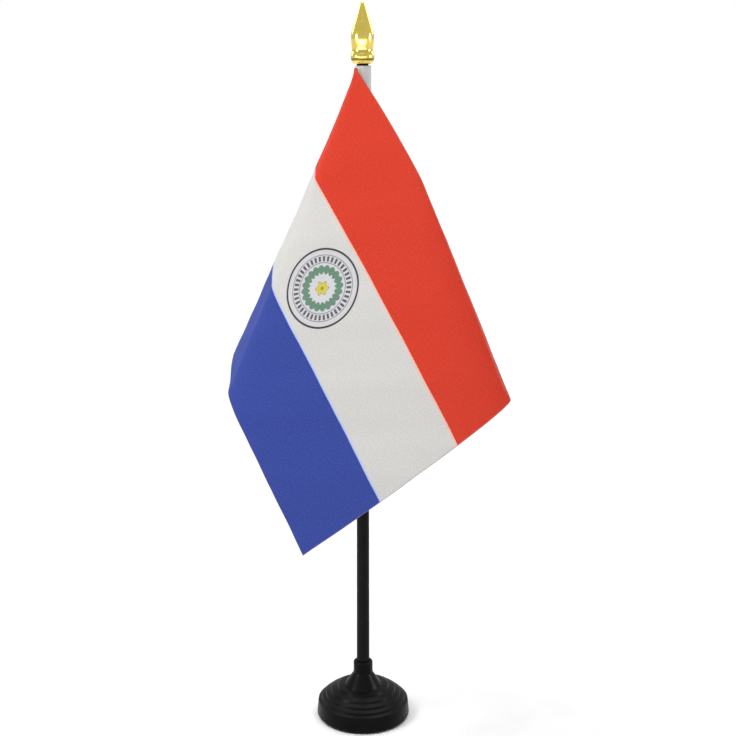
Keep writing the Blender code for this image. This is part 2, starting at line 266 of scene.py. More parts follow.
# %% Sizes of the base
shell_low, shell_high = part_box("base_shell")
BASE_TOP = shell_high.z
BASE_LIFT = shell_low.z
RIM_RADIUS = shell_high.x
RIM_DRAFT = 0.4 * MM
RIM_CHAMFER = 0.8 * MM
SHOULDER_HEIGHT = 5.6 * MM
STEP_COUNT = 5
STEP_RISE = 1.4 * MM
SOCKET_RADIUS = 2.7 * MM
SOCKET_FLOOR = 5.2 * MM
COLLAR_RADIUS = 3.7 * MM
COLLAR_ROUNDING = 0.8 * MM
COLLAR_LENGTH = 4.8 * MM
DOME_TOP_RADIUS = 6.1 * MM
FLARE_FOOT_RADIUS = 7.2 * MM
BOSS_RADIUS = 4.4 * MM
BOSS_FOOT = 3.5 * MM
CAVITY_RADIUS = RIM_RADIUS - 1.8 * MM
DOME_WALL = 1.7 * MM
LEDGE_HEIGHT = 5.2 * MM
print(f"base {2 * RIM_RADIUS / MM:.1f} mm across, {BASE_TOP / MM:.1f} mm high")


# %% Draw up the base
def dome_radius(height):
    """Radius of the ball that runs from the shoulder to the dome's top."""
    shoulder = RIM_RADIUS - RIM_DRAFT
    rise = STEP_COUNT * STEP_RISE
    narrowing = shoulder ** 2 - DOME_TOP_RADIUS ** 2
    centre = SHOULDER_HEIGHT + rise / 2 - narrowing / (2 * rise)
    return math.sqrt(shoulder ** 2 + (SHOULDER_HEIGHT - centre) ** 2 - (height - centre) ** 2)


def base_outline():
    """Socket floor, collar, flare, stepped dome and rim, then the hollow back up to the boss."""
    dome_top = SHOULDER_HEIGHT + STEP_COUNT * STEP_RISE
    flare_foot = dome_top - 0.4 * MM
    flare_top = BASE_TOP - COLLAR_LENGTH
    pull = 0.32 * (flare_top - flare_foot)
    outline = [(SOCKET_RADIUS, SOCKET_FLOOR), (SOCKET_RADIUS, BASE_TOP - 0.25 * MM),
               (SOCKET_RADIUS + 0.2 * MM, BASE_TOP)]
    collar_edge = (COLLAR_RADIUS - COLLAR_ROUNDING, BASE_TOP - COLLAR_ROUNDING)
    outline += quarter_round(collar_edge, COLLAR_ROUNDING, 90, 0, 6)
    outline += bend((COLLAR_RADIUS, flare_top), (COLLAR_RADIUS + 1.0 * MM, flare_top - pull),
                    (COLLAR_RADIUS + 2.5 * MM, flare_foot + pull), (FLARE_FOOT_RADIUS, flare_foot), 10)
    for step in reversed(range(STEP_COUNT)):
        foot = SHOULDER_HEIGHT + step * STEP_RISE
        near, far = dome_radius(foot), dome_radius(foot + STEP_RISE)
        if step < STEP_COUNT - 1:
            outline.append((far, foot + STEP_RISE))
        outline.append((near - 0.12 * (near - far), foot + 0.62 * STEP_RISE))
    outline += [(RIM_RADIUS - RIM_DRAFT, SHOULDER_HEIGHT), (RIM_RADIUS, BASE_LIFT + RIM_CHAMFER),
                (RIM_RADIUS - RIM_CHAMFER, BASE_LIFT), (CAVITY_RADIUS, BASE_LIFT),
                (CAVITY_RADIUS, LEDGE_HEIGHT)]
    ceiling = dome_top - DOME_WALL
    for share in (0, 0.2, 0.4, 0.6, 0.8):
        height = LEDGE_HEIGHT + (ceiling - LEDGE_HEIGHT) * share
        outline.append((dome_radius(height) - DOME_WALL, height))
    return outline + [(BOSS_RADIUS, ceiling), (BOSS_RADIUS, BOSS_FOOT)]


base = soften_edges(drawn_up("base_moulding", base_outline(), 144), 0.22 * MM)
report(base)

# %% [markdown]
# The plastic is black with a soft sheen. Real mouldings are never even: the surface has a fine spark
# grain from the mould, it is a little duller where hands rub it, and dust lies in the rings. The
# grain is a bump too fine to see one by one, and two slower noises change the sheen and the tone.

# %% The base's plastic
def black_plastic(name, tone, dull, gloss, grain_scale, grain_height):
    """Moulded black plastic with a spark grain, an uneven sheen and a trace of dust."""
    material, tree, shader = new_finish(name)
    place = object_place(tree)
    cloud = noise(tree, place, 90, 4)
    deep = (tone * 0.75, tone * 0.75, tone * 0.76, 1)
    light = (tone * 1.25, tone * 1.25, tone * 1.2, 1)
    shade = paint(tree, deep, light, ramp(tree, cloud, 0.3, 0.7))
    dust = ramp(tree, noise(tree, place, 900, 2), 0.64, 0.8, 0.0, 0.12)
    feed(tree, shader.inputs["Base Color"], paint(tree, shade, (0.06, 0.06, 0.057, 1), dust))
    sheen = noise(tree, stretched(tree, place, (1, 1, 3)), 160, 5, 0.6)
    feed(tree, shader.inputs["Roughness"], ramp(tree, sheen, 0.25, 0.75, gloss, dull))
    bumped(tree, shader, noise(tree, place, grain_scale, 2), grain_height)
    shader.inputs["Specular IOR Level"].default_value = 0.07
    return material


cover(base, black_plastic("black_base_plastic", 0.0022, 0.42, 0.30, 2600, 0.010 * MM))
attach(base, "base")
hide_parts("base_shell")

# %% [markdown]
# ## The weight and the pad
# Nobody sees the weight: a steel ring round the boss that keeps the tall stand from tipping. Below it
# a foam disc is stuck into the recess, and the stand rests on that. The ring is drawn up as a closed
# tube with chamfered edges, and the disc as a low drum with its edge pressed round.

# %% Draw up the weight and the pad
weight_low, weight_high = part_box("base_weight")
pad_low, pad_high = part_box("base_pad")
WEIGHT_INNER = BOSS_RADIUS + 0.3 * MM

ring_outline = [(weight_high.x, weight_low.z), (weight_high.x, weight_high.z),
                (WEIGHT_INNER, weight_high.z), (WEIGHT_INNER, weight_low.z),
                (weight_high.x, weight_low.z)]
weight = soften_edges(drawn_up("ballast_ring", ring_outline, 96, tube=True), 0.25 * MM, 2)
report(weight)

pad_radius = pad_high.x
pad_outline = [(pad_radius * 0.5, pad_low.z), (pad_radius * 0.9, pad_low.z), (pad_radius, pad_low.z),
               (pad_radius, pad_high.z), (pad_radius * 0.9, pad_high.z), (pad_radius * 0.5, pad_high.z)]
pad = soften_edges(drawn_up("foam_pad", pad_outline, 96), 0.3 * MM, 3)
report(pad)


# %% Steel and foam
def plated_steel():
    """Zinc plating: fine turning marks round the axis, and a few dull stains."""
    material, tree, shader = new_finish("plated_steel")
    place = object_place(tree)
    x, y, z = parts_of(tree, place)
    radius = sum_of(tree, "SQRT", sum_of(tree, "ADD", both(tree, x, x), both(tree, y, y)))
    marks = sum_of(tree, "SINE", both(tree, radius, 16000.0))
    stain = ramp(tree, noise(tree, place, 220, 4), 0.5, 0.75)
    zinc = paint(tree, (0.56, 0.56, 0.55, 1), (0.34, 0.31, 0.27, 1), stain)
    feed(tree, shader.inputs["Base Color"], zinc)
    feed(tree, shader.inputs["Roughness"], ramp(tree, stain, 0, 1, 0.26, 0.55))
    shader.inputs["Metallic"].default_value = 1.0
    bumped(tree, shader, ramp(tree, marks, -1, 1), 0.006 * MM)
    return material


def black_foam():
    """Closed-cell foam: tiny pits in a matt black skin, rubbed grey here and there."""
    material, tree, shader = new_finish("black_foam")
    place = object_place(tree)
    cells = tree.nodes.new("ShaderNodeTexVoronoi")
    cells.inputs["Scale"].default_value = 1800
    feed(tree, cells.inputs["Vector"], place)
    pits = ramp(tree, cells.outputs["Distance"], 0.1, 0.5)
    rubbed = ramp(tree, noise(tree, place, 140, 4), 0.5, 0.8)
    skin = paint(tree, grey(0.012), (0.05, 0.05, 0.048, 1), rubbed)
    feed(tree, shader.inputs["Base Color"], skin)
    feed(tree, shader.inputs["Roughness"], ramp(tree, pits, 0, 1, 0.95, 0.75))
    bumped(tree, shader, pits, 0.08 * MM)
    return material


cover(weight, plated_steel())
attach(weight, "base")
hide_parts("base_weight")
cover(pad, black_foam())
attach(pad, "base")
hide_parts("base_pad")

# %% [markdown]
# ## The pole
# The pole is a plain plastic rod that a press fit holds in the socket. It tapers by half a millimetre
# on its way up, as anything does that has to come out of a mould, and both ends are rounded so that
# they find their holes.

# %% Draw up the pole
pole_low, pole_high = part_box("pole")
POLE_FOOT_RADIUS = pole_high.x
POLE_TOP_RADIUS = 2.05 * MM
POLE_ROUNDING = 0.5 * MM


def pole_radius(height):
    """Radius of the tapered pole at a height."""
    share = (height - pole_low.z) / (pole_high.z - pole_low.z)
    return POLE_FOOT_RADIUS + (POLE_TOP_RADIUS - POLE_FOOT_RADIUS) * share


def pole_outline():
    """From the rounded foot up the taper to the rounded top."""
    foot = (POLE_FOOT_RADIUS - POLE_ROUNDING, pole_low.z + POLE_ROUNDING)
    top = (POLE_TOP_RADIUS - POLE_ROUNDING, pole_high.z - POLE_ROUNDING)
    outline = quarter_round(foot, POLE_ROUNDING, -90, 0, 5)
    for step in range(1, 24):
        height = foot[1] + (top[1] - foot[1]) * step / 24
        outline.append((pole_radius(height), height))
    return outline + quarter_round(top, POLE_ROUNDING, 0, 90, 5)


pole = drawn_up("tapered_pole", pole_outline(), 64)
bpy.ops.object.shade_smooth_by_angle(angle=math.radians(40))
report(pole)

# %% The pole's plastic
pole_finish = black_plastic("black_pole_plastic", 0.0060, 0.46, 0.34, 2200, 0.008 * MM)
cover(pole, pole_finish)
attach(pole, "pole")
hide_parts("pole")

# %% [markdown]
# ## The gold spear
# The finial is a hollow plastic moulding with a bright gold plating. A ring goes round its foot, then
# come a neck, a belly and a long blade with a rounded point. It is drawn up from the bottom of its
# blind bore, out over the foot, and up the outside along four smooth curves.

# %% Draw up the spear
spear_low, spear_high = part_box("finial")
BORE_RADIUS = 2.263 * MM
BORE_DEPTH = 7.75 * MM
RING_RADIUS = 4.193 * MM
NECK_RADIUS = 3.663 * MM
BELLY_RADIUS = 4.013 * MM
POINT_RADIUS = 0.8 * MM


def spear_outline():
    """Down the bore, round the foot, and up over ring, neck, belly and blade to the point."""
    foot = spear_low.z
    ring, neck, belly = foot + 2.4 * MM, foot + 4.7 * MM, foot + 8.6 * MM
    point = spear_high.z - POINT_RADIUS
    outline = [(BORE_RADIUS * 0.5, foot + BORE_DEPTH), (BORE_RADIUS, foot + BORE_DEPTH),
               (BORE_RADIUS, foot)]
    foot_radius = BORE_RADIUS + 0.44 * MM
    outline += bend((foot_radius, foot), (foot_radius + 0.75 * MM, foot),
                    (RING_RADIUS, ring - 1.1 * MM), (RING_RADIUS, ring), 9)
    outline += bend((RING_RADIUS, ring), (RING_RADIUS, ring + 1.1 * MM),
                    (NECK_RADIUS, neck - 1.0 * MM), (NECK_RADIUS, neck), 10)[1:]
    outline += bend((NECK_RADIUS, neck), (NECK_RADIUS, neck + 1.0 * MM),
                    (BELLY_RADIUS, belly - 1.8 * MM), (BELLY_RADIUS, belly), 10)[1:]
    outline += bend((BELLY_RADIUS, belly), (BELLY_RADIUS, belly + 3.2 * MM),
                    (POINT_RADIUS + 1.75 * MM, point - 6.0 * MM), (POINT_RADIUS, point), 22)[1:]
    return outline + quarter_round((0.0, point), POINT_RADIUS, 0, 86, 7)[1:]


spear = drawn_up("gold_spear", spear_outline(), 96)
bpy.ops.object.shade_smooth_by_angle(angle=math.radians(40))
report(spear)


# %% [markdown]
# Bright plating copies the plastic under it, so it is smooth but not optically flat: a slow ripple
# bends its reflections, and the finest scratches blur them. The colour is a greenish yellow gold.
# Painted shade deepens it a little in the groove of the neck, and a dark band painted below the ring
# stands in for the dark reflection there.

# %% The gold plating
NECK_GROOVE = 4.6 * MM
FOOT_SHADE = 1.6 * MM


def gold_plating():
    """Bright gold with a slow ripple, hairline scratches and painted shade at the neck and below the
    ring.
    """
    material, tree, shader = new_finish("gold_plating")
    place = object_place(tree)
    height = parts_of(tree, place)[2]
    ripple = noise(tree, place, 260, 2)
    scratches = noise(tree, stretched(tree, place, (1, 1, 0.15)), 5200, 2)
    tint = paint(tree, (0.80, 0.62, 0.13, 1), (0.72, 0.56, 0.12, 1), ramp(tree, ripple, 0.3, 0.7))
    # Painted shade: the gold is darkened a little round the groove of the neck.
    from_neck = sum_of(tree, "ABSOLUTE", sum_of(tree, "SUBTRACT", height, spear_low.z + NECK_GROOVE))
    neck_painted_shade = ramp(tree, from_neck, 0.2 * MM, 1.2 * MM, 0.35, 0.0)
    tint = paint(tree, tint, (0.50, 0.34, 0.05, 1), neck_painted_shade)
    # Painted reflection: a dark band just above the foot, below the ring, stands in for the dark
    # reflection there.
    from_foot = sum_of(tree, "ABSOLUTE", sum_of(tree, "SUBTRACT", height, spear_low.z + FOOT_SHADE))
    shade = ramp(tree, from_foot, 0.2 * MM, 0.7 * MM, 0.85, 0.0)
    feed(tree, shader.inputs["Base Color"], paint(tree, tint, (0.12, 0.08, 0.015, 1), shade))
    feed(tree, shader.inputs["Roughness"], ramp(tree, scratches, 0.3, 0.8, 0.09, 0.20))
    shader.inputs["Metallic"].default_value = 1.0
    bumped(tree, shader, ripple, 0.03 * MM)
    return material


cover(spear, gold_plating())
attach(spear, "finial")
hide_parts("finial")

# %% [markdown]
# ## The white sleeve
# The flag is not tied to the pole. A strip of white cloth is folded into a tube, sewn along one side,
# and slipped over the pole, a little loose, so that the flag can turn in the air. It is drawn up as a
# thin tube whose wall is closed round both rims. A slight waviness down its length shows that it is
# cloth and not a pipe.

# %% Draw up the sleeve
sleeve_low, sleeve_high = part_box("hoist_sleeve")
SLEEVE_AXIS_X = (sleeve_low.x + sleeve_high.x) / 2
SLEEVE_RADIUS = (sleeve_high.x - sleeve_low.x) / 2
SLEEVE_WALL = 0.2 * MM
SLEEVE_RINGS = 60


def sleeve_outline():
    """Up the outside of the tube, over the rim and down the inside, in many low rings."""
    heights = [sleeve_low.z + (sleeve_high.z - sleeve_low.z) * ring / SLEEVE_RINGS
               for ring in range(SLEEVE_RINGS + 1)]
    slack = [0.05 * MM * math.sin(height * 610) * math.sin(height * 173) for height in heights]
    slack[0] = slack[-1] = 0.0
    outer = [(SLEEVE_RADIUS + min(s, 0.0), h) for h, s in zip(heights, slack)]
    inner = [(SLEEVE_RADIUS - SLEEVE_WALL + 0.5 * max(s, 0.0), h) for h, s in zip(heights, slack)]
    return outer + inner[::-1] + outer[:1]


sleeve = drawn_up("pole_sleeve", sleeve_outline(), 64, axis_x=SLEEVE_AXIS_X, tube=True)
bpy.ops.object.shade_smooth_by_angle(angle=math.radians(40))
report(sleeve)


# %% The sleeve's cloth
def white_cloth():
    """Plain white weave, a little grey in patches and darker at the cut rim."""
    material, tree, shader = new_finish("white_sleeve_cloth")
    place = object_place(tree)
    x, y, z = parts_of(tree, place)
    threads_up = sum_of(tree, "SINE", both(tree, z, 14000.0))
    turn = sum_of(tree, "ARCTAN2", y, sum_of(tree, "SUBTRACT", x, SLEEVE_AXIS_X))
    threads_round = sum_of(tree, "SINE", both(tree, turn, 40.0))
    weave = both(tree, threads_up, threads_round)
    cloud = ramp(tree, noise(tree, place, 240, 4), 0.3, 0.7)
    tone = paint(tree, (0.64, 0.645, 0.63, 1), (0.74, 0.745, 0.73, 1), cloud)
    rim = ramp(tree, z, sleeve_high.z - 0.5 * MM, sleeve_high.z, 0.0, 0.35)
    feed(tree, shader.inputs["Base Color"], paint(tree, tone, (0.42, 0.42, 0.41, 1), rim))
    feed(tree, shader.inputs["Roughness"], ramp(tree, weave, -1, 1, 0.92, 0.78))
    shader.inputs["Sheen Weight"].default_value = 0.15
    bumped(tree, shader, weave, 0.02 * MM)
    return material


cover(sleeve, white_cloth())
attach(sleeve, "flag")
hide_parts("hoist_sleeve")

# %% [markdown]
# ## The flag
# A light polyester flag hangs from the top of its hoist. Cloth cannot stretch, so it hangs in the one
# kind of curved surface that can be unrolled flat: a cone of straight folds that all meet at a point
# on the line of the hoist. Cloth simulation could find such a drape, but its folds would fall where
# they like. Here the folds' directions are chosen along one smooth curve, and each point of the flat
# cloth is then laid on its fold at its true distance from the meeting point, so that nothing
# stretches: down behind at the pole, out to the left where the cloth rolls over, and back across the
# front to the loose end on the right.

# %% Sizes of the flag
FLAG_FLY = 138.0 * MM
FLAG_HOIST = 100.0 * MM
CLOTH_GAP = 0.5 * MM
CLOTH_ROOM = 0.5 * MM
CLOTH_THICKNESS = 0.26 * MM
HOIST_BEARING = math.radians(-117.0)
FLAG_TOP = sleeve_high.z - 0.7 * MM
FOLD_START = 5.7 * MM
FOLD_LEAVE_PULL = (-0.412, -0.055)
FOLD_LEFT = (-0.381, -0.166)
FOLD_LEFT_PULL = (-0.077, 0.2995)
FOLD_LEFT_RETURN = 0.373
FOLD_RIGHT_PULL = (0.345, -0.535)
FOLD_RIGHT = (0.326, -0.587)
FOLD_SAMPLES = 400
TOP_SWING = 1.3 * MM
CORNER_TUCK = 2.4 * MM
TUCK_WIDTH = 2.5 * MM
TUCK_LENGTH = 9.0 * MM
FLY_SWING = 2.0 * MM
FLY_SWING_LESS = 1.2 * MM
MEMORY_FADE = 30.0 * MM
TOP_SWING_FADE = 18.0 * MM
COLUMNS = 150
ROWS = 100
COLUMN_CROWDING = 1.2


# %% Work out the folds
def fold_directions():
    """Unit directions of the folds, and the angle from the hoist of each in the flat cloth."""
    left_in = (FOLD_LEFT[0] + FOLD_LEFT_PULL[0], FOLD_LEFT[1] + FOLD_LEFT_PULL[1])
    left_out = (FOLD_LEFT[0] - FOLD_LEFT_RETURN * FOLD_LEFT_PULL[0],
                FOLD_LEFT[1] - FOLD_LEFT_RETURN * FOLD_LEFT_PULL[1])
    path = bend((0.0, 0.0), FOLD_LEAVE_PULL, left_in, FOLD_LEFT, FOLD_SAMPLES)
    path += bend(FOLD_LEFT, left_out, FOLD_RIGHT_PULL, FOLD_RIGHT, FOLD_SAMPLES)[1:]
    folds = [Vector((x, y, -math.sqrt(1 - x * x - y * y))) for x, y in path]
    angles = [0.0]
    for before, after in zip(folds, folds[1:]):
        angles.append(angles[-1] + before.angle(after))
    axis = folds[-1].cross(folds[-2]).normalized()
    turn = math.radians(1)
    while angles[-1] < math.pi / 2:
        folds.append(folds[-1] * math.cos(turn) - axis.cross(folds[-1]) * math.sin(turn))
        angles.append(angles[-1] + turn)
    return folds, angles


def fold_at(table, angle):
    """The fold at an angle from the hoist."""
    folds, angles = table
    low, high = 0, len(angles) - 1
    while high - low > 1:
        middle = (low + high) // 2
        low, high = (middle, high) if angles[middle] <= angle else (low, middle)
    share = (angle - angles[low]) / (angles[high] - angles[low])
    return folds[low].lerp(folds[high], share).normalized()


hoist_reach = SLEEVE_RADIUS + CLOTH_GAP + CLOTH_ROOM / 2
hoist_corner = Vector((SLEEVE_AXIS_X - hoist_reach * math.cos(HOIST_BEARING),
                       hoist_reach * math.sin(HOIST_BEARING), FLAG_TOP))
fold_table = fold_directions()
print(f"folds meet {FOLD_START / MM:.1f} mm above the corner, in {len(fold_table[0])} directions")


# %% [markdown]
# Three small things move the cloth off its ideal folds. Its top swings a little to the left round the
# sleeve, its top corner is tucked in behind the front, and the free end swings slightly left as well.
# Real cloth also keeps a memory of how it was packed: faint rolls, less than a third of a millimetre
# high, that fade out where the cloth is sewn down and along its top edge.

# %% Lay the flat cloth on its folds
def hang(along, down):
    """Where a point of the flat cloth hangs: along the stripes from the hoist, down from the top."""
    reach = math.hypot(along, down + FOLD_START)
    apex = hoist_corner + Vector((0, 0, FOLD_START))
    swung = TOP_SWING * math.exp((FOLD_START - reach) / TOP_SWING_FADE)
    swung += CORNER_TUCK * math.exp(-(along / TUCK_WIDTH) ** 2 - down / TUCK_LENGTH)
    swung += (FLY_SWING - FLY_SWING_LESS * down / FLAG_HOIST) * (along / FLAG_FLY) ** 2
    fold = fold_at(fold_table, math.atan2(along, down + FOLD_START))
    return apex + reach * fold - Vector((swung, 0, 0))


def memory(along, down):
    """How far the cloth stands out of its smooth drape, in metres."""
    free = min(1.0, along / MEMORY_FADE) * (0.2 + 0.8 * min(1.0, down / MEMORY_FADE))
    rolls = [0.16 * math.sin(along * 210 + down * 95),
             0.10 * math.sin(along * 95 - down * 260 + 1.3),
             0.05 * math.sin(along * 520 + down * 330 + 0.6)]
    return sum(rolls) * free * MM


def flag_point(along, down):
    """The hanging point, moved out along the cloth's own normal by its memory."""
    nudge = 0.2 * MM
    here = hang(along, down)
    across = hang(along + nudge, down) - here
    below = hang(along, down + nudge) - here
    return here + below.cross(across).normalized() * memory(along, down)


def flag_mesh():
    """A grid with the flat cloth's place in its UV map: u along the fly, v up the hoist."""
    points, faces = [], []
    for column in range(COLUMNS + 1):
        along = FLAG_FLY * (column / COLUMNS) ** COLUMN_CROWDING
        for row in range(ROWS + 1):
            points.append(flag_point(along, FLAG_HOIST * row / ROWS))
    for column in range(COLUMNS):
        for row in range(ROWS):
            corner = column * (ROWS + 1) + row
            faces.append((corner, corner + 1, corner + ROWS + 2, corner + ROWS + 1))
    mesh = bpy.data.meshes.new("hanging_flag")
    mesh.from_pydata(points, [], faces)
    layer = mesh.uv_layers.new(name="flat_cloth")
    for loop in mesh.loops:
        column, row = divmod(loop.vertex_index, ROWS + 1)
        layer.data[loop.index].uv = ((column / COLUMNS) ** COLUMN_CROWDING, 1 - row / ROWS)
    return mesh


flag = bpy.data.objects.new("hanging_flag", flag_mesh())
bpy.context.collection.objects.link(flag)
deselect_all()
flag.select_set(True)
bpy.context.view_layer.objects.active = flag
cloth_wall = flag.modifiers.new("cloth", "SOLIDIFY")
cloth_wall.thickness = CLOTH_THICKNESS
cloth_wall.offset = 0
cloth_wall.use_even_offset = True
bpy.ops.object.modifier_apply(modifier=cloth_wall.name)
bpy.ops.object.mode_set(mode="EDIT")
bpy.ops.mesh.select_all(action="SELECT")
bpy.ops.mesh.normals_make_consistent(inside=False)
bpy.ops.object.mode_set(mode="OBJECT")
bpy.ops.object.shade_smooth_by_angle(angle=math.radians(40))
report(flag)

# %% [markdown]
# ## The print
# The three stripes are printed on white cloth, so the dyes bleed a hair's breadth into the white and
# the cut edge shows darker where the heat has melted it. The round badge in the middle of the white
# stripe is one of this lesson's own design: a dark ring, two fine rings with a row of short bars
# between them, a ring of green leaves and a yellow rosette. All of it is drawn from the flat cloth's
# own coordinates, in millimetres, so that it follows the folds.

# %% Draw the badge
BADGE_ALONG = 63.0
BADGE_DOWN = 50.0
RING_INK = (0.045, 0.045, 0.050, 1)
FINE_INK = (0.20, 0.20, 0.22, 1)
LEAF_INK = (0.045, 0.22, 0.085, 1)
LEAF_DEEP_INK = (0.06, 0.16, 0.12, 1)
PETAL_INK = (0.62, 0.55, 0.08, 1)


def ring_mask(tree, radius, at, half_width, soft=0.10):
    """One on a ring of the badge, nought elsewhere."""
    away = sum_of(tree, "ABSOLUTE", sum_of(tree, "SUBTRACT", radius, at))
    return ramp(tree, away, half_width - soft, half_width + soft, 1.0, 0.0)


def badge(tree, under, along, down):
    """The badge, laid over the colour under it."""
    right = sum_of(tree, "SUBTRACT", along, BADGE_ALONG)
    up = sum_of(tree, "SUBTRACT", BADGE_DOWN, down)
    radius = sum_of(tree, "SQRT", sum_of(tree, "ADD", both(tree, right, right), both(tree, up, up)))
    turn = sum_of(tree, "ARCTAN2", up, right)
    inside = ramp(tree, radius, 13.6, 13.9, 1.0, 0.0)
    colour = paint(tree, under, (0.62, 0.615, 0.68, 1), both(tree, inside, 0.45))
    colour = paint(tree, colour, RING_INK, ring_mask(tree, radius, 13.72, 0.34))
    colour = paint(tree, colour, FINE_INK, ring_mask(tree, radius, 11.6, 0.13))
    colour = paint(tree, colour, FINE_INK, ring_mask(tree, radius, 8.9, 0.13))
    bars = ramp(tree, sum_of(tree, "SINE", both(tree, turn, 40.0)), -0.35, 0.25)
    bars = both(tree, bars, ring_mask(tree, radius, 10.25, 0.92, 0.15))
    colour = paint(tree, colour, RING_INK, both(tree, bars, 0.9))
    scallop = sum_of(tree, "ABSOLUTE", sum_of(tree, "SINE", both(tree, turn, 10.0)))
    edge = sum_of(tree, "MULTIPLY_ADD", scallop, 0.9, 0.75)
    away = sum_of(tree, "ABSOLUTE", sum_of(tree, "SUBTRACT", radius, 6.5))
    leaves = ramp(tree, sum_of(tree, "SUBTRACT", away, edge), -0.15, 0.15, 0.85, 0.0)
    vein = sum_of(tree, "SINE", sum_of(tree, "ADD", both(tree, turn, 60.0), both(tree, radius, 4.0)))
    leaf_tone = paint(tree, LEAF_INK, LEAF_DEEP_INK, ramp(tree, vein, -0.3, 0.8))
    colour = paint(tree, colour, leaf_tone, leaves)
    petals = sum_of(tree, "MULTIPLY_ADD", sum_of(tree, "COSINE", both(tree, turn, 6.0)), 0.45, 2.2)
    rosette = ramp(tree, sum_of(tree, "SUBTRACT", radius, petals), -0.15, 0.15, 1.0, 0.0)
    colour = paint(tree, colour, PETAL_INK, rosette)
    outline = ramp(tree, sum_of(tree, "ABSOLUTE", sum_of(tree, "SUBTRACT", radius, petals)),
                   0.02, 0.22, 0.7, 0.0)
    colour = paint(tree, colour, (0.16, 0.14, 0.05, 1), outline)
    return paint(tree, colour, (0.30, 0.20, 0.04, 1), ramp(tree, radius, 0.5, 0.8, 0.8, 0.0))


# %% [markdown]
# The cloth itself is a plain weave of fine threads. From where the flag is seen the threads blur to a
# fine grain, which is drawn twice: as the weave's own hills and hollows, and as a speckle in the dye.
# A little light comes through so thin a cloth, which a Translucent shader mixed in lets happen.

# %% Print and weave the flag
RED_DYE = (0.66, 0.041, 0.016, 1)
WHITE_CLOTH = (0.65, 0.64, 0.62, 1)
BLUE_DYE = (0.034, 0.062, 0.325, 1)
STRIPE = 100.0 / 3
THREADS_PER_MM = 2.6
EDGE_LINE = 0.35


def printed_polyester():
    """Three stripes and a badge on a fine plain weave, thin enough to let a little light through."""
    material, tree, shader = new_finish("printed_polyester")
    flat_place = tree.nodes.new("ShaderNodeUVMap")
    flat_place.uv_map = "flat_cloth"
    u, v, _ = parts_of(tree, flat_place.outputs["UV"])
    along = both(tree, u, FLAG_FLY / MM)
    down = sum_of(tree, "MULTIPLY_ADD", v, -FLAG_HOIST / MM, FLAG_HOIST / MM)
    flat_mm = tree.nodes.new("ShaderNodeCombineXYZ")
    feed(tree, flat_mm.inputs[0], along)
    feed(tree, flat_mm.inputs[1], down)
    bleed = sum_of(tree, "MULTIPLY_ADD", noise(tree, flat_mm.outputs[0], 1.2, 2), 0.3, -0.15)
    dyed = sum_of(tree, "ADD", down, bleed)
    colour = paint(tree, RED_DYE, (0.92, 0.52, 0.42, 1), ramp(tree, dyed, STRIPE - 0.25, STRIPE + 0.1))
    colour = paint(tree, colour, WHITE_CLOTH, ramp(tree, dyed, STRIPE, STRIPE + 1.0))
    colour = badge(tree, colour, along, down)
    colour = paint(tree, colour, (0.42, 0.55, 0.86, 1), ramp(tree, dyed, 2 * STRIPE - 0.9, 2 * STRIPE))
    colour = paint(tree, colour, BLUE_DYE, ramp(tree, dyed, 2 * STRIPE - 0.1, 2 * STRIPE + 0.25))
    speckle = noise(tree, flat_mm.outputs[0], 1.9, 3, 0.7)
    colour = paint(tree, colour, grey(0.0), ramp(tree, speckle, 0.35, 0.65, 0.13, 0.0))
    colour = paint(tree, colour, grey(1.0), ramp(tree, speckle, 0.5, 0.8, 0.0, 0.05))
    near_edge = sum_of(tree, "MINIMUM", sum_of(tree, "SUBTRACT", FLAG_FLY / MM, along),
                       sum_of(tree, "MINIMUM", down, sum_of(tree, "SUBTRACT", FLAG_HOIST / MM, down)))
    colour = paint(tree, colour, (0.30, 0.18, 0.17, 1), ramp(tree, near_edge, 0.1, EDGE_LINE, 0.45, 0.0))
    feed(tree, shader.inputs["Base Color"], colour)
    warp = sum_of(tree, "SINE", both(tree, along, 2 * math.pi * THREADS_PER_MM))
    weft = sum_of(tree, "SINE", both(tree, down, 2 * math.pi * THREADS_PER_MM))
    weave = ramp(tree, both(tree, warp, weft), -1, 1)
    feed(tree, shader.inputs["Roughness"], ramp(tree, weave, 0, 1, 0.86, 0.70))
    shader.inputs["Sheen Weight"].default_value = 0.04
    shader.inputs["Sheen Roughness"].default_value = 0.4
    shader.inputs["Specular IOR Level"].default_value = 0.15
    hills = sum_of(tree, "MULTIPLY_ADD", speckle, 0.8, both(tree, weave, 0.6))
    bumped(tree, shader, hills, 0.035 * MM)
    glow = tree.nodes.new("ShaderNodeBsdfTranslucent")
    feed(tree, glow.inputs["Color"], colour)
    blend = tree.nodes.new("ShaderNodeMixShader")
    blend.inputs[0].default_value = 0.14
    tree.links.new(shader.outputs[0], blend.inputs[1])
    tree.links.new(glow.outputs[0], blend.inputs[2])
    tree.links.new(blend.outputs[0], tree.nodes["Material Output"].inputs["Surface"])
    return material


cover(flag, printed_polyester())
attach(flag, "flag")
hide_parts("flag_cloth")

# %% [markdown]
# ## The stitches
# A zigzag of white thread runs down the seam and holds the cloth to the sleeve. One stitch is modelled
# from a slim cylinder, thinner at the ends where it dives into the cloth, and copied down the seam,
# every second one mirrored.

# %% Model one stitch and copy it
STITCH_PITCH = 2.5 * MM
STITCH_WIDTH = 1.2 * MM
THREAD_RADIUS = 0.15 * MM
STITCH_GAP = 0.3 * MM
STITCH_COUNT = 37


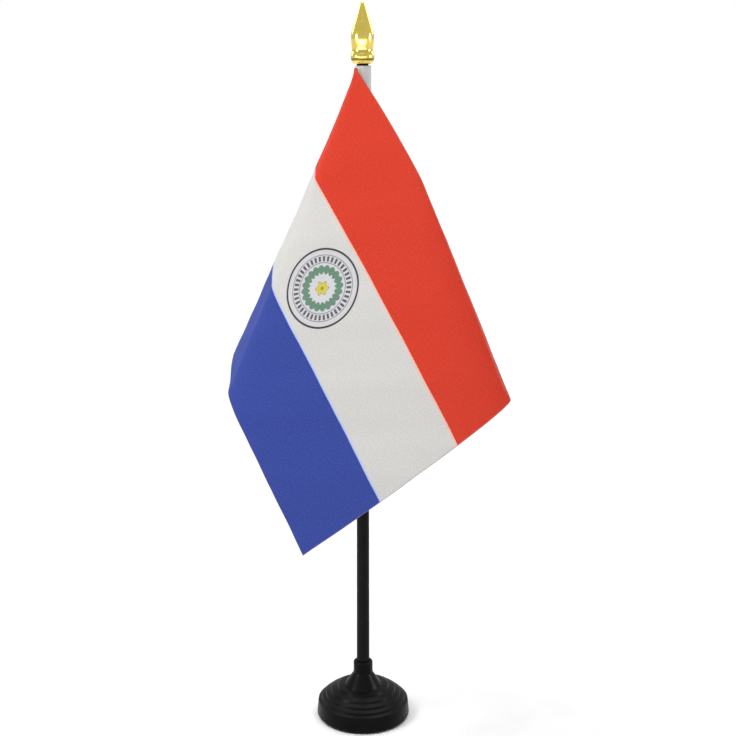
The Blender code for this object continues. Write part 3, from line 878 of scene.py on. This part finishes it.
def one_stitch(start, end):
    """A short thread from one needle hole to the next, slimmer at both ends."""
    deselect_all()
    run = end - start
    bpy.ops.mesh.primitive_cylinder_add(vertices=10, radius=THREAD_RADIUS, depth=run.length)
    stitch = bpy.context.object
    bpy.ops.object.mode_set(mode="EDIT")
    bpy.ops.mesh.select_all(action="SELECT")
    for share in (-0.3, 0.0, 0.3):
        bpy.ops.mesh.select_all(action="SELECT")
        bpy.ops.mesh.bisect(plane_co=(0, 0, share * run.length), plane_no=(0, 0, 1))
    bpy.ops.object.mode_set(mode="OBJECT")
    for vertex in stitch.data.vertices:
        share = abs(vertex.co.z) / (run.length / 2)
        slim = 1.0 - 0.45 * share ** 4
        vertex.co.x *= slim
        vertex.co.y *= slim
    stitch.rotation_mode = "QUATERNION"
    stitch.rotation_quaternion = run.to_track_quat("Z", "Y")
    stitch.location = (start + end) / 2
    bpy.ops.object.transform_apply(location=True, rotation=True, scale=True)
    return stitch


seam_radius = SLEEVE_RADIUS + STITCH_GAP + THREAD_RADIUS
swing_in = CLOTH_ROOM / 2 + STITCH_GAP + 2 * THREAD_RADIUS
holes = []
for index in range(STITCH_COUNT + 1):
    down = STITCH_PITCH * (index + 1)
    edge = hang(0.0, down)
    outward = Vector((edge.x - SLEEVE_AXIS_X, edge.y, 0)).normalized()
    sideways = Vector((outward.y, -outward.x, 0))
    seam = Vector((SLEEVE_AXIS_X, 0, FLAG_TOP - down)) + outward * seam_radius
    holes.append(seam - sideways * (swing_in + (STITCH_WIDTH if index % 2 else 0.0)))
stitches = [one_stitch(a, b) for a, b in zip(holes, holes[1:])]
deselect_all()
for stitch in stitches:
    stitch.select_set(True)
bpy.context.view_layer.objects.active = stitches[0]
bpy.ops.object.join()
thread = bpy.context.object
thread.name = "seam_stitches"
thread.data.name = "seam_stitches"
bpy.ops.object.shade_smooth_by_angle(angle=math.radians(40))
report(thread)


# %% The thread
def sewing_thread():
    """Twisted white polyester thread."""
    material, tree, shader = new_finish("white_thread")
    place = object_place(tree)
    x, y, z = parts_of(tree, place)
    slant = sum_of(tree, "ADD", both(tree, z, 9000.0), both(tree, sum_of(tree, "ADD", x, y), 12000.0))
    twist = ramp(tree, sum_of(tree, "SINE", slant), -1, 1)
    thread_tone = paint(tree, (0.55, 0.55, 0.53, 1), (0.78, 0.78, 0.76, 1), twist)
    feed(tree, shader.inputs["Base Color"], thread_tone)
    feed(tree, shader.inputs["Roughness"], ramp(tree, twist, 0, 1, 0.75, 0.5))
    bumped(tree, shader, twist, 0.03 * MM)
    return material


cover(thread, sewing_thread())
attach(thread, "flag")
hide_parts("hoist_stitching")

# %% [markdown]
# ## Floor and light
# The stand is shown on a plain pale floor in soft light. A sun as wide as a ceiling of soft boxes
# lights the floor evenly, and one lamp from the upper left makes the cloth brighter there. The other
# lamps are seen only in reflections: they put the glints on the gold and on the rings of the base.

# %% Lay the floor
deselect_all()
bpy.ops.mesh.primitive_plane_add(size=60, location=(0, 0, 0))
floor = bpy.context.object
floor.name = "pale_floor"
floor_finish, tree, shader = new_finish("pale_floor")
paper = noise(tree, object_place(tree), 40, 5)
feed(tree, shader.inputs["Base Color"], paint(tree, grey(0.88), grey(0.91), ramp(tree, paper, 0.3, 0.7)))
shader.inputs["Roughness"].default_value = 0.9
cover(floor, floor_finish)


# %% Hang the lamps
def lamp(name, azimuth, elevation, distance, size, power, aim=(0, 0, 0.14)):
    """A square soft lamp on a ball round the stand; azimuth 0 is the front, 90 the right."""
    a, e = math.radians(azimuth), math.radians(elevation)
    away = Vector((math.sin(a) * math.cos(e), -math.cos(a) * math.cos(e), math.sin(e)))
    bpy.ops.object.light_add(type="AREA", location=Vector(aim) + away * distance)
    made = bpy.context.object
    made.name = name
    made.data.size = size
    made.data.energy = power
    made.rotation_mode = "QUATERNION"
    made.rotation_quaternion = away.to_track_quat("Z", "Y")
    return made


def wide_sun(name, azimuth, elevation, spread, strength):
    """A sun as wide as a soft box, which lights the whole floor evenly."""
    a, e = math.radians(azimuth), math.radians(elevation)
    away = Vector((math.sin(a) * math.cos(e), -math.cos(a) * math.cos(e), math.sin(e)))
    bpy.ops.object.light_add(type="SUN", location=away)
    made = bpy.context.object
    made.name = name
    made.data.energy = strength
    made.data.angle = math.radians(spread)
    made.rotation_mode = "QUATERNION"
    made.rotation_quaternion = away.to_track_quat("Z", "Y")
    return made


wide_sun("ceiling", 0, 88, 70, 3.3)
upper_left = lamp("upper_left", -66, 40, 0.40, 0.22, 1.1, (-0.01, -0.03, 0.21))
upper_left.visible_glossy = False
front_low = lamp("front_low", -8, -10, 0.35, 0.8, 0.5, (0, 0, 0.255))
front_low.data.shape = "RECTANGLE"
front_low.data.size_y = 0.07
front_low.data.spread = math.radians(115)
shine_only = [
    lamp("front_left", -62, 20, 0.9, 0.2, 3.2, (0, 0, 0.01)),
    lamp("front_right", 82, 20, 0.9, 0.2, 3.2, (0, 0, 0.01)),
    lamp("back_left", -130, 30, 0.9, 0.2, 0.6, (0, 0, 0.01)),
    lamp("back_right", 130, 30, 0.9, 0.2, 0.6, (0, 0, 0.01)),
    lamp("front_high", -4, 62, 0.8, 0.45, 1.4, (0, 0, 0.25)),
    front_low,
]
for made in shine_only:
    made.visible_diffuse = False
    made.visible_camera = False
print("lamps seen only in reflections:", ", ".join(made.name for made in shine_only))

# %% [markdown]
# The room itself is white where the camera looks straight at it, bright where it is mirrored, and dim
# as a light, so that the lamps shape the cloth. A Light Path node tells the three apart.

# %% The room's own light
room = bpy.data.worlds.new("studio")
bpy.context.scene.world = room
room.use_nodes = True
room_nodes = room.node_tree.nodes
room_light = room_nodes["Background"]
room_light.inputs["Color"].default_value = (0.97, 0.98, 1.0, 1)
room_light.inputs["Strength"].default_value = 0.12
room_shine = room_nodes.new("ShaderNodeBackground")
room_shine.inputs["Color"].default_value = (0.97, 0.98, 1.0, 1)
room_shine.inputs["Strength"].default_value = 0.75
room_seen = room_nodes.new("ShaderNodeBackground")
room_seen.inputs["Color"].default_value = grey(1.0)
room_seen.inputs["Strength"].default_value = 1.0
rays = room_nodes.new("ShaderNodeLightPath")
room_mix = room_nodes.new("ShaderNodeMixShader")
shine_mix = room_nodes.new("ShaderNodeMixShader")
room.node_tree.links.new(rays.outputs["Is Glossy Ray"], shine_mix.inputs[0])
room.node_tree.links.new(room_light.outputs[0], shine_mix.inputs[1])
room.node_tree.links.new(room_shine.outputs[0], shine_mix.inputs[2])
room.node_tree.links.new(rays.outputs["Is Camera Ray"], room_mix.inputs[0])
room.node_tree.links.new(shine_mix.outputs[0], room_mix.inputs[1])
room.node_tree.links.new(room_seen.outputs[0], room_mix.inputs[2])
room.node_tree.links.new(room_mix.outputs[0], room_nodes["World Output"].inputs["Surface"])
